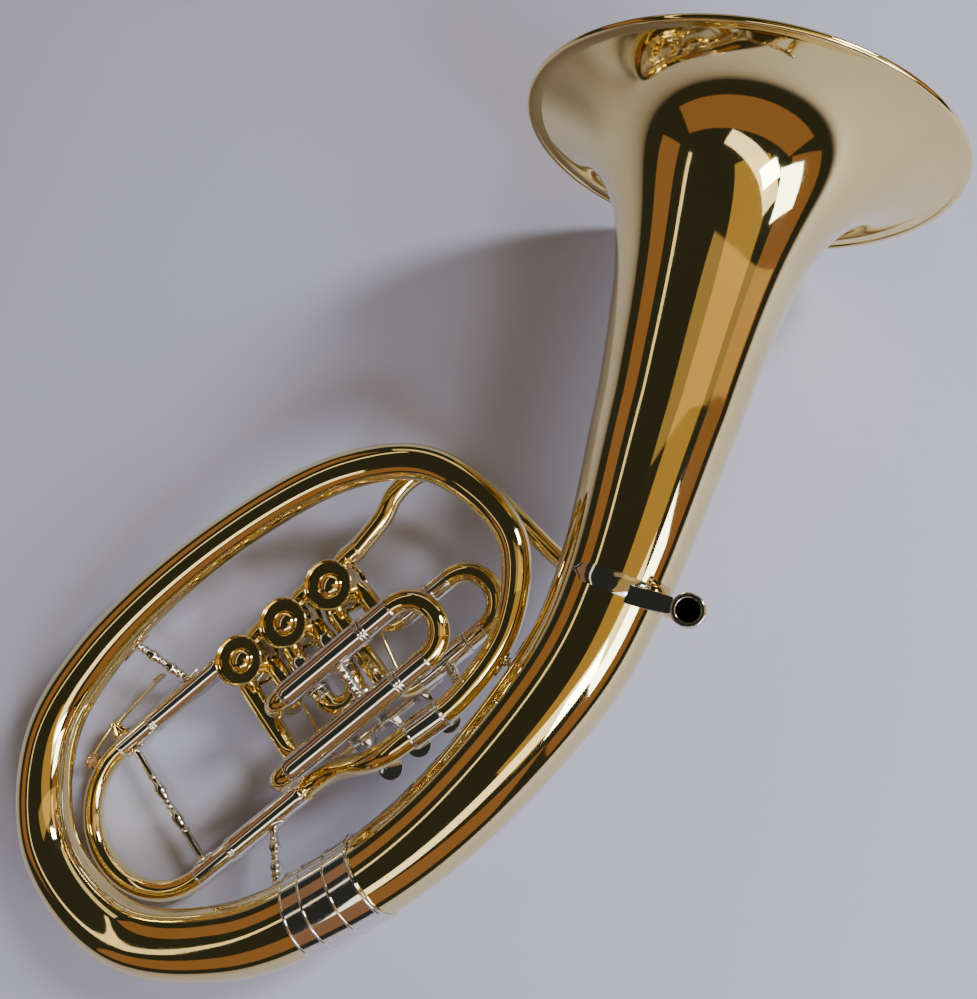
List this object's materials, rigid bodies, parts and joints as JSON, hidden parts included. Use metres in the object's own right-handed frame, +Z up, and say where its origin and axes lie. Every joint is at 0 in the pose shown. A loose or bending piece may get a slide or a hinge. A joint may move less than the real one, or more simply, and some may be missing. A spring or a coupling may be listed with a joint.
{
  "type": "alto horn",
  "caption": "Oval alto horn with upright flared bell, rotary valves worked by sprung levers, pull-out tuning slides and a water key.",
  "frame": {"origin": "middle of the footprint, on the surface that the horn lies on", "axes": "+Z up from the surface, with the valve caps above; +Y along the bell towards its rim; +X to the receiver's side"},
  "size_m": [0.437, 0.5378, 0.2363],
  "materials": {
    "lacquered_brass": "lacquered, polished",
    "nickel_silver": "polished nickel silver",
    "steel": "turned and oiled"
  },
  "bodies": {
    "horn_frame": {"valve_casing_1": "lacquered_brass", "valve_cap_1": "nickel_silver", "bearing_plate_1": "nickel_silver", "valve_casing_2": "lacquered_brass", "valve_cap_2": "nickel_silver", "bearing_plate_2": "nickel_silver", "valve_casing_3": "lacquered_brass", "valve_cap_3": "nickel_silver", "bearing_plate_3": "nickel_silver", "knuckle_2_1": "lacquered_brass", "knuckle_3_2": "lacquered_brass", "tuning_sleeve_upper": "nickel_silver", "tuning_sleeve_lower": "nickel_silver", "outlet_tube": "lacquered_brass", "first_sleeve_near": "lacquered_brass", "first_sleeve_far": "lacquered_brass", "second_sleeve_left": "lacquered_brass", "second_sleeve_right": "lacquered_brass", "third_sleeve_near": "lacquered_brass", "third_sleeve_far": "lacquered_brass", "bow_brace": "nickel_silver", "branch_brace": "nickel_silver", "first_brace": "nickel_silver", "third_brace": "nickel_silver", "hinge_rod": "steel", "rod_bracket_left": "nickel_silver", "rod_bracket_middle": "nickel_silver", "rod_bracket_right": "nickel_silver", "lever_spring_1": "steel", "lever_spring_2": "steel", "lever_spring_3": "steel", "bell": "lacquered_brass", "body_tube": "lacquered_brass", "bow_ferrule": "nickel_silver", "branch_ferrule": "nickel_silver", "receiver": "nickel_silver", "leadpipe": "lacquered_brass", "receiver_saddle": "nickel_silver", "bell_brace": "nickel_silver"},
    "tuning_slide": {"tuning_crook": "lacquered_brass", "crook_brace": "nickel_silver", "water_key_saddle": "lacquered_brass"},
    "water_key_arm": {"water_key": "lacquered_brass"},
    "first_valve_slide": {"first_slide": "nickel_silver"},
    "second_valve_slide": {"second_slide": "lacquered_brass"},
    "third_valve_slide": {"third_slide": "nickel_silver"},
    "lever_arm_1": {"lever_1": "nickel_silver"},
    "link_arm_1": {"link_1": "lacquered_brass"},
    "valve_rotor_1": {"rotor_1": "steel", "stop_arm_1": "steel"},
    "lever_arm_2": {"lever_2": "nickel_silver"},
    "link_arm_2": {"link_2": "lacquered_brass"},
    "valve_rotor_2": {"rotor_2": "steel", "stop_arm_2": "steel"},
    "lever_arm_3": {"lever_3": "nickel_silver"},
    "link_arm_3": {"link_3": "lacquered_brass"},
    "valve_rotor_3": {"rotor_3": "steel", "stop_arm_3": "steel"}
  },
  "joints": [
    {"name": "lever_1_press", "type": "hinge", "parent": "horn_frame", "child": "lever_arm_1", "pos_m": [0.00427, -0.07344, 0.03141], "axis": [-0.5805, -0.7971, -0.1666], "range_deg": [0, 30.75], "stiffness_Nm_per_rad": 0.03, "springref_deg": -51.57, "deforming": ["lever_spring_1"]},
    {"name": "link_1_swing", "type": "hinge", "parent": "lever_arm_1", "child": "link_arm_1", "pos_m": [-0.00545, -0.08072, 0.01363], "axis": [-0.5805, -0.7971, -0.1666], "range_deg": [-30.75, 0]},
    {"name": "rotor_1_turn", "type": "hinge", "parent": "horn_frame", "child": "valve_rotor_1", "pos_m": [-0.06128, -0.03013, 0.04055], "axis": [0.1329, 0.1091, -0.9851], "range_deg": [0, 90]},
    {"name": "lever_2_press", "type": "hinge", "parent": "horn_frame", "child": "lever_arm_2", "pos_m": [-0.00908, -0.09178, 0.02758], "axis": [-0.5805, -0.7971, -0.1666], "range_deg": [0, 30.75], "stiffness_Nm_per_rad": 0.03, "springref_deg": -51.57, "deforming": ["lever_spring_2"]},
    {"name": "link_2_swing", "type": "hinge", "parent": "lever_arm_2", "child": "link_arm_2", "pos_m": [-0.01625, -0.09554, 0.01053], "axis": [-0.5805, -0.7971, -0.1666], "range_deg": [-30.75, 0]},
    {"name": "rotor_2_turn", "type": "hinge", "parent": "horn_frame", "child": "valve_rotor_2", "pos_m": [-0.0816, -0.05802, 0.03472], "axis": [0.1329, 0.1091, -0.9851], "range_deg": [0, 90]},
    {"name": "lever_3_press", "type": "hinge", "parent": "horn_frame", "child": "lever_arm_3", "pos_m": [-0.02185, -0.10931, 0.02391], "axis": [-0.5805, -0.7971, -0.1666], "range_deg": [0, 30.75], "stiffness_Nm_per_rad": 0.03, "springref_deg": -51.57, "deforming": ["lever_spring_3"]},
    {"name": "link_3_swing", "type": "hinge", "parent": "lever_arm_3", "child": "link_arm_3", "pos_m": [-0.04121, -0.12982, 0.00337], "axis": [-0.5805, -0.7971, -0.1666], "range_deg": [-30.75, 0]},
    {"name": "rotor_3_turn", "type": "hinge", "parent": "horn_frame", "child": "valve_rotor_3", "pos_m": [-0.10192, -0.08592, 0.02889], "axis": [0.1329, 0.1091, -0.9851], "range_deg": [0, 90]},
    {"name": "tuning_slide_pull", "type": "slide", "parent": "horn_frame", "child": "tuning_slide", "axis": [-0.5805, -0.7971, -0.1666], "range_m": [0, 0.035]},
    {"name": "first_slide_pull", "type": "slide", "parent": "horn_frame", "child": "first_valve_slide", "axis": [0.5805, 0.7971, 0.1666], "range_m": [0, 0.016]},
    {"name": "second_slide_pull", "type": "slide", "parent": "horn_frame", "child": "second_valve_slide", "axis": [0.8034, -0.594, 0.0427], "range_m": [0, 0.014]},
    {"name": "third_slide_pull", "type": "slide", "parent": "horn_frame", "child": "third_valve_slide", "axis": [0.5805, 0.7971, 0.1666], "range_m": [0, 0.045]},
    {"name": "water_key_press", "type": "hinge", "parent": "tuning_slide", "child": "water_key_arm", "pos_m": [-0.17674, -0.14709, 0.01202], "axis": [0.1329, 0.1091, -0.9851], "range_deg": [0, 12], "stiffness_Nm_per_rad": 0.02, "springref_deg": -34.38}
  ],
  "couplings": [
    {"joint": "link_1_swing", "follows": "lever_1_press", "ratio": -1},
    {"joint": "rotor_1_turn", "follows": "lever_1_press", "ratio": 2.9265},
    {"joint": "link_2_swing", "follows": "lever_2_press", "ratio": -1},
    {"joint": "rotor_2_turn", "follows": "lever_2_press", "ratio": 2.9265},
    {"joint": "link_3_swing", "follows": "lever_3_press", "ratio": -1},
    {"joint": "rotor_3_turn", "follows": "lever_3_press", "ratio": 2.9265}
  ]
}
